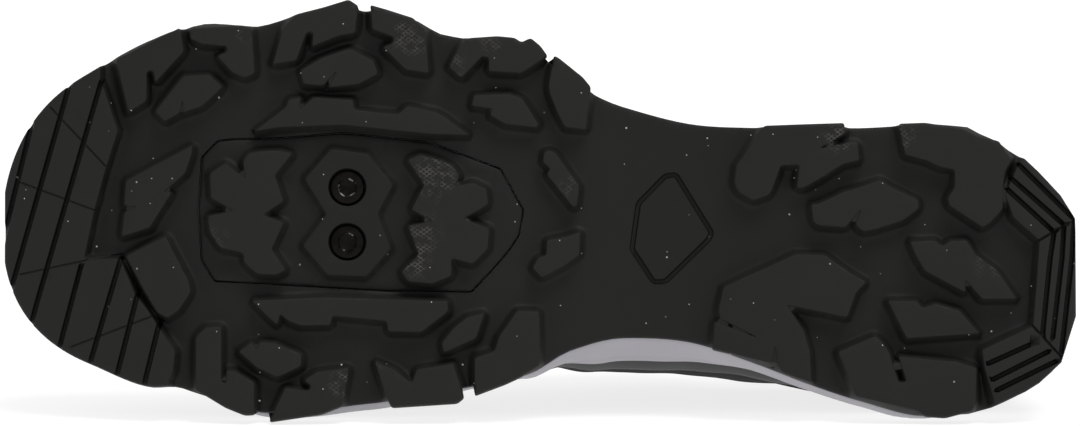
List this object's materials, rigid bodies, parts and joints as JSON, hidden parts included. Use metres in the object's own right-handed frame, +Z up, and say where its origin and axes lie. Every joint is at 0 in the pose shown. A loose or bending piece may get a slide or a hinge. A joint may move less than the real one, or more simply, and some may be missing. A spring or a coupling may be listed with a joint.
{
  "type": "cycling shoe",
  "caption": "Left lace-up cycling shoe with a lugged rubber sole, a screwed-on cleat pocket cover and a foam midsole, lying on its medial side.",
  "frame": {"origin": "centre of the bounding box at floor height, the shoe lying on its medial side", "axes": "+X from toe to heel, -Y out of the tread, +Y towards the collar, +Z up, so the lateral side is on top"},
  "size_m": [0.2754, 0.108, 0.108],
  "materials": {
    "outsole_rubber": "matte moulded rubber, lightly scuffed",
    "midsole_foam": "matte pale grey moulded foam",
    "upper_black": "matte black synthetic over textile",
    "lining_fabric": "matte black lining cloth",
    "lace_black": "woven black lace",
    "eyelet_metal": "black coated metal",
    "screw_steel": "dark steel, dusty"
  },
  "bodies": {
    "root": {"outsole": "outsole_rubber", "cleat_cover": "outsole_rubber", "cleat_screw_lateral": "screw_steel", "cleat_screw_medial": "screw_steel", "midsole": "midsole_foam", "upper": "upper_black", "insole": "lining_fabric", "tongue": "upper_black", "laces": "lace_black", "eyelet_lateral_1": "eyelet_metal", "eyelet_lateral_2": "eyelet_metal", "eyelet_lateral_3": "eyelet_metal", "eyelet_lateral_4": "eyelet_metal", "eyelet_lateral_5": "eyelet_metal", "eyelet_medial_1": "eyelet_metal", "eyelet_medial_2": "eyelet_metal", "eyelet_medial_3": "eyelet_metal", "eyelet_medial_4": "eyelet_metal", "eyelet_medial_5": "eyelet_metal"}
  },
  "joints": []
}
